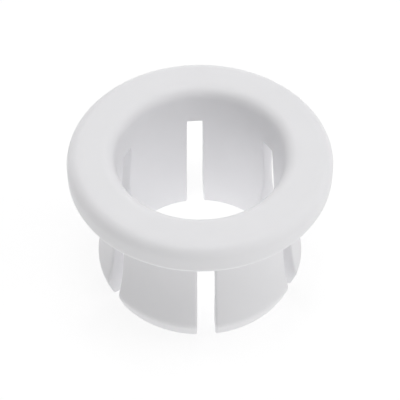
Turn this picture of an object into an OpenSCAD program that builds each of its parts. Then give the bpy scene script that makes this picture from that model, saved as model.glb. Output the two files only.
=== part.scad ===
// Snap-in cable grommet for a round hole in a desk top.
// One moulding: a flange ring with a split sleeve of spring fingers under it.
// Millimetres. The origin is on the axis, in the plane of the flange's underside,
// which is the desk's surface. +Z points up, out of the desk.

/* [Flange] */
// Outer diameter of the flange
flange_d = 60; // [56:0.5:66]
// Thickness of the flange above the desk
flange_t = 7.5; // [6.5:0.1:9]
// Radius of the flange's top outer edge
edge_r = 2.8; // [1:0.1:3.2]
// Radius of the flared mouth of the cable hole
mouth_r = 3; // [1:0.1:3.2]
// Radius of the flange's bottom outer edge
foot_r = 2.1; // [0.5:0.1:2.4]

/* [Bore] */
// Diameter of the cable hole through the flange
bore_d = 38.2; // [37:0.1:38.6]
// Inner diameter of the fingers at their waist
waist_bore_d = 40.2; // [39:0.1:40.4]
// Depth of the waist below the flange
waist_h = 17; // [12:0.5:20]
// Inner diameter at the finger tips
tip_bore_d = 37.8; // [37:0.1:39]

/* [Sleeve] */
// Outer diameter of the collar that locates in the desk hole
neck_d = 44.2; // [43.6:0.1:44.8]
// Height of the unbroken collar, down to the finger roots
collar_h = 2.2; // [1.5:0.1:4]
// Outer diameter where the flare starts
flare_d = 45; // [44.9:0.1:46]
// Depth of the start of the flare
flare_h = 9; // [7:0.5:12]
// Outer diameter over the barbs
barb_d = 49.6; // [48:0.1:51]
// Depth of the barbs' crest
barb_h = 26; // [23:0.1:28]
// Outer diameter at the finger tips
tip_d = 46.6; // [44:0.1:47]
// Depth of the finger tips
sleeve_h = 30.6; // [29:0.1:34]

/* [Slots] */
// Width of a slot at the finger roots
slot_root_w = 3.8; // [3:0.1:4.2]
// Width of a slot at the finger tips
slot_tip_w = 4.3; // [4.2:0.1:5]

/* [Hidden] */
$fn = 128;

finger_count = 6;
pitch = 360 / finger_count;
// One slot opens toward -Y, so the first finger's middle is half a pitch past it
first_finger = -90 + pitch / 2;

flange_r = flange_d / 2;
bore_r = bore_d / 2;
neck_r = neck_d / 2;
flare_r = flare_d / 2;
barb_r = barb_d / 2;
barb_rise = barb_r - flare_r;
barb_drop = barb_h - flare_h;
// Radius of the arc that leaves the neck upright and reaches the barb's crest
flare_arc_r = (barb_drop * barb_drop + barb_rise * barb_rise) / (2 * barb_rise);
// How far the slot cutters run past the sleeve
clear = 1;

plastic = [0.93, 0.93, 0.94];

// Half section of the flange and its collar, radius to the right and height up
module rim_section() {
    difference() {
        translate([bore_r, 0])
            square([flange_r - bore_r, flange_t]);
        translate([bore_r - clear, flange_t - mouth_r])
            square([mouth_r + clear, mouth_r + clear]);
        translate([flange_r - edge_r, flange_t - edge_r])
            square([edge_r + clear, edge_r + clear]);
        translate([flange_r - foot_r, -clear])
            square([foot_r + clear, foot_r + clear]);
    }
    translate([bore_r + mouth_r, flange_t - mouth_r])
        circle(r = mouth_r);
    translate([flange_r - edge_r, flange_t - edge_r])
        circle(r = edge_r);
    translate([flange_r - foot_r, foot_r])
        circle(r = foot_r);
    translate([bore_r, -collar_h])
        square([neck_r - bore_r, collar_h + foot_r]);
}

// Half section of a finger, from its root under the collar to its tip
module finger_section() {
    difference() {
        polygon([
            [bore_r, -collar_h],
            [waist_bore_d / 2, -waist_h],
            [tip_bore_d / 2, -sleeve_h],
            [tip_d / 2, -sleeve_h],
            [barb_r, -barb_h],
            [barb_r, -flare_h],
            [flare_r, -flare_h],
            [neck_r, -collar_h]
        ]);
        translate([flare_r + flare_arc_r, -flare_h])
            circle(r = flare_arc_r);
    }
}

// Wedge that cuts one slot along +X, a little wider at the tips than at the roots
module slot_cutter() {
    widen = (slot_tip_w - slot_root_w) / (sleeve_h - collar_h);
    top_w = slot_root_w - widen * clear;
    end_w = slot_tip_w + widen * clear;
    rotate([90, 0, 90])
        linear_extrude(flange_r)
            polygon([
                [-top_w / 2, clear - collar_h],
                [top_w / 2, clear - collar_h],
                [end_w / 2, -sleeve_h - clear],
                [-end_w / 2, -sleeve_h - clear]
            ]);
}

// Flange ring with the flared mouth, and the collar that fits the desk hole
module rim() {
    color(plastic)
        rotate_extrude()
            rim_section();
}

// Spring finger with a barb that grips under the desk top
module snap_finger(index) {
    color(plastic)
        rotate(first_finger + (index - 1) * pitch)
            difference() {
                rotate_extrude(angle = pitch, start = -pitch / 2)
                    finger_section();
                for (side = [-1, 1])
                    rotate(side * pitch / 2)
                        slot_cutter();
            }
}

rim();
snap_finger(1);  // snap_finger_1
snap_finger(2);  // snap_finger_2
snap_finger(3);  // snap_finger_3
snap_finger(4);  // snap_finger_4
snap_finger(5);  // snap_finger_5
snap_finger(6);  // snap_finger_6
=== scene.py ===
"""Looks of the snap-in cable grommet: a moulded flange ring over six spring fingers."""

import math

import bpy
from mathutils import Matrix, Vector


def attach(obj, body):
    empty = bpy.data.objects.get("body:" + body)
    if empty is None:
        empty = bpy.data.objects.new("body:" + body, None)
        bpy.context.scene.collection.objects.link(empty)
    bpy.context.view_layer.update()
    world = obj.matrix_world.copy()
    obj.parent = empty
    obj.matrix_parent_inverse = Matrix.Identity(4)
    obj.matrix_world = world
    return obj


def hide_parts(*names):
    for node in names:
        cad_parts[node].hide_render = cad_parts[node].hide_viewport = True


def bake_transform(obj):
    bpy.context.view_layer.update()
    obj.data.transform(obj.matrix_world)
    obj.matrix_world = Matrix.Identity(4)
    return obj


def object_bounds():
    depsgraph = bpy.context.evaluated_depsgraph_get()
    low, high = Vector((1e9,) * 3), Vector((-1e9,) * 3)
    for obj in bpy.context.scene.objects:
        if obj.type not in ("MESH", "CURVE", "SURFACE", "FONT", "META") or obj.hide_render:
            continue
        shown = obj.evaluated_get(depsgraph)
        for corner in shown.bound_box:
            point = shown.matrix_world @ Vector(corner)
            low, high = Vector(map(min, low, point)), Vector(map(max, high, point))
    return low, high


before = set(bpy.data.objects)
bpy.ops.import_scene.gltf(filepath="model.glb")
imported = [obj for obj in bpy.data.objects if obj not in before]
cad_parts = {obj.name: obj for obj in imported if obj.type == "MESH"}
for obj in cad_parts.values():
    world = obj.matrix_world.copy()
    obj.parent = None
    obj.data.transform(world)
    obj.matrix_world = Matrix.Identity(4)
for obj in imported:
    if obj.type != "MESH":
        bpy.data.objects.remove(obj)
cad_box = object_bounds()

MM = 0.001

# Flange and collar, millimetres
FLANGE_R = 30.0
FLANGE_T = 7.5
EDGE_R = 2.8
MOUTH_R = 3.0
FOOT_R = 2.1
BORE_R = 19.1
NECK_R = 22.1
COLLAR_H = 2.2
THROAT_R = 0.3  # fillet where the collar meets the flange
RIM_SEGMENTS = 240
LIP_STEPS, FOOT_STEPS, THROAT_STEPS = 18, 14, 5  # steps along the profile's round stretches
FACE_STEPS, BORE_STEPS, WALL_STEPS, END_STEPS = 6, 8, 4, 3  # and along its straight ones

# Fingers, millimetres
SLEEVE_H = 30.6
WAIST_R, WAIST_H = 20.1, 17.0
TIP_BORE_R = 18.9
FLARE_R, FLARE_H = 22.5, 9.0
BARB_R, BARB_H = 24.8, 26.0
TIP_R = 23.3
SLOT_ROOT_W, SLOT_TIP_W = 3.8, 4.3
FINGERS = 6
PITCH = math.tau / FINGERS
FIRST_FINGER = -math.tau / 4 + PITCH / 2
EASE = 2.5  # depth over which a finger's outer wall leaves the upright collar
CORNER_ROOT, CORNER_R = 0.08, 0.5  # rounding of a finger's upright edges, root and below
CORNER_FADE = 3.0  # depth over which that rounding grows
TIP_ROUND = 0.35
CREST_SOFT = 1.0  # averaging reach at the barb's crest
FLARE_SOFT, FLARE_SPAN = 2.5, 4.5  # averaging reach where the flare starts, and how far it fades
LEAST_SOFT = 0.01  # averaging reach everywhere else
SOFT_SAMPLES = 16
ARC_STEPS, CORNER_STEPS, ROUND_STEPS = 40, 4, 4
LEAST_ROUND = 0.05  # smallest rounding of an upright edge at the tip
ROOT_LEVELS = (0, 0.3, 0.6, 1.0, 1.4, 1.9, 2.5, 3.1)  # depths of the root's levels under the collar
WALL_TOP, WALL_LEVELS = 6.0, 24  # first level of the wall under the root, and its steps
CREST_ABOVE, CREST_BELOW, CREST_LEVELS = 1.2, 1.5, 9  # span of the closer levels at the crest
TIP_START, TIP_LEVELS = 1.9, 5  # first level of the lead-in under the crest, and its steps

# Floor, lamps and camera, metres
FLOOR_R, FLOOR_RINGS, FLOOR_SEGMENTS = 4.0, 3, 96
FLOOR_GAP = 0.00005
FLOOR_TONE, FLOOR_GLOW = 0.3, 0.771
LAMP_SIZE, LAMP_DISTANCE = 0.6, 0.9
WALL_GLOW, CEILING_GLOW = 0.49, 0.02
WALL_FADE_START, WALL_FADE_END = 0.05, 0.25
VIEW_AZIMUTH, VIEW_ELEVATION = -3.6, 48.06  # degrees
VIEW_DISTANCE, VIEW_HEIGHT = 0.2978, -0.00934


def lerp(a, b, t):
    return a + (b - a) * t


def smooth(t):
    t = min(max(t, 0.0), 1.0)
    return t * t * (3 - 2 * t)


def arc(centre, radius, start, end, steps):
    """Points on a circular arc, both ends included, angles in degrees."""
    points = []
    for i in range(steps + 1):
        a = math.radians(lerp(start, end, i / steps))
        points.append((centre[0] + radius * math.cos(a), centre[1] + radius * math.sin(a)))
    return points


def straight(a, b, steps):
    """Points between two ends, both ends left out."""
    return [(lerp(a[0], b[0], i / steps), lerp(a[1], b[1], i / steps)) for i in range(1, steps)]


def new_object(name, vertices, faces, sharp):
    """A smooth-shaded mesh, with the edges in sharp (pairs of vertices) kept crisp."""
    mesh = bpy.data.meshes.new(name)
    mesh.from_pydata([Vector(v) * MM for v in vertices], [], faces)
    mesh.validate()
    mesh.polygons.foreach_set("use_smooth", [True] * len(mesh.polygons))
    crisp = {frozenset(pair) for pair in sharp}
    for edge in mesh.edges:
        edge.use_edge_sharp = frozenset(edge.vertices) in crisp
    mesh.update()
    obj = bpy.data.objects.new(name, mesh)
    bpy.context.scene.collection.objects.link(obj)
    return obj


# ---------------------------------------------------------------- rim

def rim_profile():
    """Closed half section of the flange and collar, and which of its corners stay crisp."""
    points, crisp = [], []

    def corner(point):
        crisp.append(len(points))
        points.append(point)

    corner((BORE_R, -COLLAR_H))
    points.extend(straight((BORE_R, -COLLAR_H), (NECK_R, -COLLAR_H), END_STEPS))
    corner((NECK_R, -COLLAR_H))
    points.extend(straight((NECK_R, -COLLAR_H), (NECK_R, -THROAT_R), WALL_STEPS))
    points.extend(arc((NECK_R + THROAT_R, -THROAT_R), THROAT_R, 180, 90, THROAT_STEPS))
    points.extend(straight((NECK_R + THROAT_R, 0), (FLANGE_R - FOOT_R, 0), FACE_STEPS))
    points.extend(arc((FLANGE_R - FOOT_R, FOOT_R), FOOT_R, -90, 0, FOOT_STEPS))
    points.extend(straight((FLANGE_R, FOOT_R), (FLANGE_R, FLANGE_T - EDGE_R), WALL_STEPS))
    points.extend(arc((FLANGE_R - EDGE_R, FLANGE_T - EDGE_R), EDGE_R, 0, 90, LIP_STEPS))
    points.extend(straight((FLANGE_R - EDGE_R, FLANGE_T), (BORE_R + MOUTH_R, FLANGE_T), FACE_STEPS))
    points.extend(arc((BORE_R + MOUTH_R, FLANGE_T - MOUTH_R), MOUTH_R, 90, 180, LIP_STEPS))
    points.extend(straight((BORE_R, FLANGE_T - MOUTH_R), (BORE_R, -COLLAR_H), BORE_STEPS))
    return points, crisp


def make_rim():
    profile, crisp = rim_profile()
    n = len(profile)
    vertices, faces, sharp = [], [], []
    for i in range(RIM_SEGMENTS):
        a = math.tau * i / RIM_SEGMENTS
        vertices.extend((r * math.cos(a), r * math.sin(a), z) for r, z in profile)
    for i in range(RIM_SEGMENTS):
        here, there = i * n, (i + 1) % RIM_SEGMENTS * n
        for j in range(n):
            k = (j + 1) % n
            faces.append((here + j, there + j, there + k, here + k))
        sharp.extend((here + j, there + j) for j in crisp)
    return new_object("flange_ring", vertices, faces, sharp)


# ---------------------------------------------------------------- fingers

ROOT_SLOPE = (FLARE_R - NECK_R) / (FLARE_H - COLLAR_H - EASE / 2)
FLARE_ARC_R = ((BARB_H - FLARE_H) ** 2 + (BARB_R - FLARE_R) ** 2) / (2 * (BARB_R - FLARE_R))


def outer_raw(depth):
    """Outer radius of a finger at a depth under the flange, with its corners still crisp."""
    d = depth - COLLAR_H
    if depth <= COLLAR_H:
        return NECK_R
    if d < EASE:
        t = d / EASE
        return NECK_R + ROOT_SLOPE * EASE * (t ** 3 - t ** 4 / 2)
    if depth < FLARE_H:
        return NECK_R + ROOT_SLOPE * (d - EASE / 2)
    if depth < BARB_H:
        drop = depth - FLARE_H
        return FLARE_R + FLARE_ARC_R - math.sqrt(FLARE_ARC_R ** 2 - drop ** 2)
    return lerp(BARB_R, TIP_R, (depth - BARB_H) / (SLEEVE_H - BARB_H))


def outer_radius(depth):
    """The same, softened around the start of the flare and at the barb's crest."""
    reach = max(
        FLARE_SOFT * smooth(1 - abs(depth - FLARE_H) / FLARE_SPAN),
        CREST_SOFT * smooth(2 - abs(depth - BARB_H) / CREST_SOFT),
        LEAST_SOFT,
    )
    radii = [outer_raw(depth + reach * (2 * i / SOFT_SAMPLES - 1)) for i in range(SOFT_SAMPLES + 1)]
    return sum(radii) / len(radii)


def inner_radius(depth):
    if depth < WAIST_H:
        t = (depth - COLLAR_H) / (WAIST_H - COLLAR_H)
        return lerp(BORE_R, WAIST_R, smooth(t))
    return lerp(WAIST_R, TIP_BORE_R, smooth((depth - WAIST_H) / (SLEEVE_H - WAIST_H)))


def finger_section(depth, inset):
    """Outer and inner lines of a finger's level section, from one slot face to the other."""
    ro, ri = outer_radius(depth) - inset, inner_radius(depth) + inset
    t = (depth - COLLAR_H) / (SLEEVE_H - COLLAR_H)
    half = lerp(SLOT_ROOT_W, SLOT_TIP_W, t) / 2 + inset
    round_r = lerp(CORNER_ROOT, CORNER_R, smooth((depth - COLLAR_H) / CORNER_FADE))
    round_r = max(round_r - inset, LEAST_ROUND)
    lines = []
    for radius, inward in ((ro, False), (ri, True)):
        reach = radius + (round_r if inward else -round_r)
        side = PITCH / 2 - math.asin((half + round_r) / reach)
        centre = (reach * math.cos(side), -reach * math.sin(side))
        # The rounding runs from square to the slot face to square to the bow
        face_a = -PITCH / 2 - math.tau / 4
        bow_a = -side - math.pi if inward else -side
        rounding = []
        for i in range(CORNER_STEPS):
            a = lerp(face_a, bow_a, i / CORNER_STEPS)
            rounding.append((centre[0] + round_r * math.cos(a), centre[1] + round_r * math.sin(a)))
        bow = []
        for i in range(ARC_STEPS + 1):
            a = lerp(-side, side, i / ARC_STEPS)
            bow.append((radius * math.cos(a), radius * math.sin(a)))
        lines.append(rounding + bow + [(x, -y) for x, y in reversed(rounding)])
    return lines


def finger_levels():
    """(depth, inset) of each level section, from the root to the rounded tip."""
    def even(top, bottom, steps):
        return [lerp(top, bottom, i / steps) for i in range(steps + 1)]

    levels = [COLLAR_H + d for d in ROOT_LEVELS]
    levels += even(WALL_TOP, BARB_H - CREST_BELOW, WALL_LEVELS)
    levels += even(BARB_H - CREST_ABOVE, BARB_H + CREST_BELOW, CREST_LEVELS)
    levels += even(BARB_H + TIP_START, SLEEVE_H - TIP_ROUND, TIP_LEVELS)
    rows = [(depth, 0.0) for depth in levels]
    for i in range(1, ROUND_STEPS + 1):
        a = math.tau / 4 * i / ROUND_STEPS
        rows.append((SLEEVE_H - TIP_ROUND * (1 - math.sin(a)), TIP_ROUND * (1 - math.cos(a))))
    return rows


def make_finger(index):
    turn = FIRST_FINGER + (index - 1) * PITCH
    c, s = math.cos(turn), math.sin(turn)
    vertices, faces, sharp = [], [], []
    rows = finger_levels()
    for depth, inset in rows:
        outer, inner = finger_section(depth, inset)
        for x, y in outer + inner[::-1]:
            vertices.append((x * c - y * s, x * s + y * c, -depth))
    n = len(outer)
    loop = 2 * n
    for i in range(len(rows) - 1):
        for j in range(loop):
            k = (j + 1) % loop
            faces.append((i * loop + k, i * loop + j, (i + 1) * loop + j, (i + 1) * loop + k))
    last = (len(rows) - 1) * loop
    for j in range(n - 1):
        faces.append((j, j + 1, loop - 2 - j, loop - 1 - j))
        faces.append((last + j, last + loop - 1 - j, last + loop - 2 - j, last + j + 1))
    sharp.extend((j, (j + 1) % loop) for j in range(loop))
    return new_object(f"spring_finger_{index}", vertices, faces, sharp)


# ---------------------------------------------------------------- material

def plastic():
    """White satin moulded plastic: a fine spark-eroded grain and slightly uneven gloss."""
    mat = bpy.data.materials.new("satin_white_plastic")
    mat.use_nodes = True
    nodes, links = mat.node_tree.nodes, mat.node_tree.links
    shader = nodes["Principled BSDF"]
    shader.inputs["IOR"].default_value = 1.49
    shader.inputs["Specular IOR Level"].default_value = 0.4
    coords = nodes.new("ShaderNodeTexCoord")

    def noise(scale, detail, roughness=0.5):
        node = nodes.new("ShaderNodeTexNoise")
        node.inputs["Scale"].default_value = scale
        node.inputs["Detail"].default_value = detail
        node.inputs["Roughness"].default_value = roughness
        links.new(coords.outputs["Object"], node.inputs["Vector"])
        return node

    tone = nodes.new("ShaderNodeValToRGB")
    tone.color_ramp.elements[0].position = 0.3
    tone.color_ramp.elements[0].color = (0.912, 0.909, 0.926, 1)
    tone.color_ramp.elements[1].position = 0.7
    tone.color_ramp.elements[1].color = (0.928, 0.925, 0.942, 1)
    links.new(noise(90, 3).outputs["Fac"], tone.inputs["Fac"])
    links.new(tone.outputs["Color"], shader.inputs["Base Color"])

    gloss = nodes.new("ShaderNodeMapRange")
    gloss.inputs["From Min"].default_value = 0.3
    gloss.inputs["From Max"].default_value = 0.7
    gloss.inputs["To Min"].default_value = 0.4
    gloss.inputs["To Max"].default_value = 0.5
    links.new(noise(220, 4, 0.6).outputs["Fac"], gloss.inputs["Value"])
    links.new(gloss.outputs["Result"], shader.inputs["Roughness"])

    grain = nodes.new("ShaderNodeBump")
    grain.inputs["Strength"].default_value = 0.12
    grain.inputs["Distance"].default_value = 0.00002
    links.new(noise(3200, 2).outputs["Fac"], grain.inputs["Height"])
    swell = nodes.new("ShaderNodeBump")
    swell.inputs["Strength"].default_value = 0.15
    swell.inputs["Distance"].default_value = 0.0001
    links.new(noise(140, 2).outputs["Fac"], swell.inputs["Height"])
    links.new(swell.outputs["Normal"], grain.inputs["Normal"])
    links.new(grain.outputs["Normal"], shader.inputs["Normal"])
    return mat


# ---------------------------------------------------------------- object

white = plastic()

ring = make_rim()
ring.data.materials.append(white)
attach(ring, "rim")
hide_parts("rim")

for number in range(1, FINGERS + 1):
    finger = make_finger(number)
    finger.data.materials.append(white)
    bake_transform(finger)
    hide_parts(f"snap_finger_{number}")


# ---------------------------------------------------------------- floor, light, camera

def make_floor():
    """A wide pale disc under the tips, which glows a little like a lit table."""
    vertices, faces = [(0, 0, 0)], []
    for i in range(1, FLOOR_RINGS + 1):
        r = FLOOR_R * i / FLOOR_RINGS
        for j in range(FLOOR_SEGMENTS):
            a = math.tau * j / FLOOR_SEGMENTS
            vertices.append((r * math.cos(a), r * math.sin(a), 0))
    for j in range(FLOOR_SEGMENTS):
        k = (j + 1) % FLOOR_SEGMENTS
        faces.append((0, 1 + j, 1 + k))
        for i in range(FLOOR_RINGS - 1):
            here, there = 1 + i * FLOOR_SEGMENTS, 1 + (i + 1) * FLOOR_SEGMENTS
            faces.append((here + j, there + j, there + k, here + k))
    mesh = bpy.data.meshes.new("floor")
    mesh.from_pydata(vertices, [], faces)
    floor = bpy.data.objects.new("floor", mesh)
    bpy.context.scene.collection.objects.link(floor)
    floor.location.z = cad_box[0][2] - FLOOR_GAP
    mat = bpy.data.materials.new("pale_floor")
    mat.use_nodes = True
    shader = mat.node_tree.nodes["Principled BSDF"]
    shader.inputs["Base Color"].default_value = (FLOOR_TONE, FLOOR_TONE, FLOOR_TONE, 1)
    shader.inputs["Roughness"].default_value = 0.9
    shader.inputs["Specular IOR Level"].default_value = 0.1
    shader.inputs["Emission Color"].default_value = (1, 1, 1, 1)
    shader.inputs["Emission Strength"].default_value = FLOOR_GLOW
    floor.data.materials.append(mat)


def direction(azimuth, elevation):
    a, e = math.radians(azimuth), math.radians(elevation)
    return Vector((math.sin(a) * math.cos(e), -math.cos(a) * math.cos(e), math.sin(e)))


def soft_box(name, azimuth, elevation, power):
    """A round soft light that faces the object, azimuth 0 in front and 90 at its right."""
    data = bpy.data.lights.new(name, "AREA")
    data.shape = "DISK"
    data.size = LAMP_SIZE
    data.energy = power
    lamp = bpy.data.objects.new(name, data)
    bpy.context.scene.collection.objects.link(lamp)
    toward = direction(azimuth, elevation)
    lamp.location = toward * LAMP_DISTANCE
    lamp.rotation_euler = toward.to_track_quat("Z", "Y").to_euler()


def make_studio():
    """Pale walls around the horizon that fade into a dim ceiling."""
    world = bpy.data.worlds.new("studio")
    world.use_nodes = True
    nodes, links = world.node_tree.nodes, world.node_tree.links
    coords = nodes.new("ShaderNodeTexCoord")
    split = nodes.new("ShaderNodeSeparateXYZ")
    fade = nodes.new("ShaderNodeMapRange")
    fade.interpolation_type = "SMOOTHSTEP"
    fade.inputs["From Min"].default_value = WALL_FADE_START
    fade.inputs["From Max"].default_value = WALL_FADE_END
    fade.inputs["To Min"].default_value = WALL_GLOW
    fade.inputs["To Max"].default_value = CEILING_GLOW
    links.new(coords.outputs["Generated"], split.inputs["Vector"])
    links.new(split.outputs["Z"], fade.inputs["Value"])
    links.new(fade.outputs["Result"], nodes["Background"].inputs["Strength"])
    nodes["Background"].inputs["Color"].default_value = (1, 1, 1, 1)
    bpy.context.scene.world = world


make_floor()
soft_box("top", 0, 89, 2.43)
soft_box("left_top", 315, 70, 1.40)
soft_box("right_top", 90, 55, 1.50)
soft_box("right", 90, 20, 0.55)
soft_box("front_right_top", 45, 55, 0.27)
soft_box("front_right", 45, 20, 0.86)
soft_box("back_top", 180, 55, 0.90)
soft_box("back", 180, 20, 0.90)
soft_box("back_left", 225, 20, 0.90)
make_studio()

lens = bpy.data.cameras.new("camera")
lens.sensor_width = 36
lens.lens = 114.66
lens.clip_start = 0.01
camera = bpy.data.objects.new("camera", lens)
bpy.context.scene.collection.objects.link(camera)
line = direction(VIEW_AZIMUTH, VIEW_ELEVATION)
camera.location = Vector((0, 0, VIEW_HEIGHT)) + line * VIEW_DISTANCE
camera.rotation_euler = line.to_track_quat("Z", "Y").to_euler()
bpy.context.scene.camera = camera
bpy.context.scene.view_settings.view_transform = "Standard"
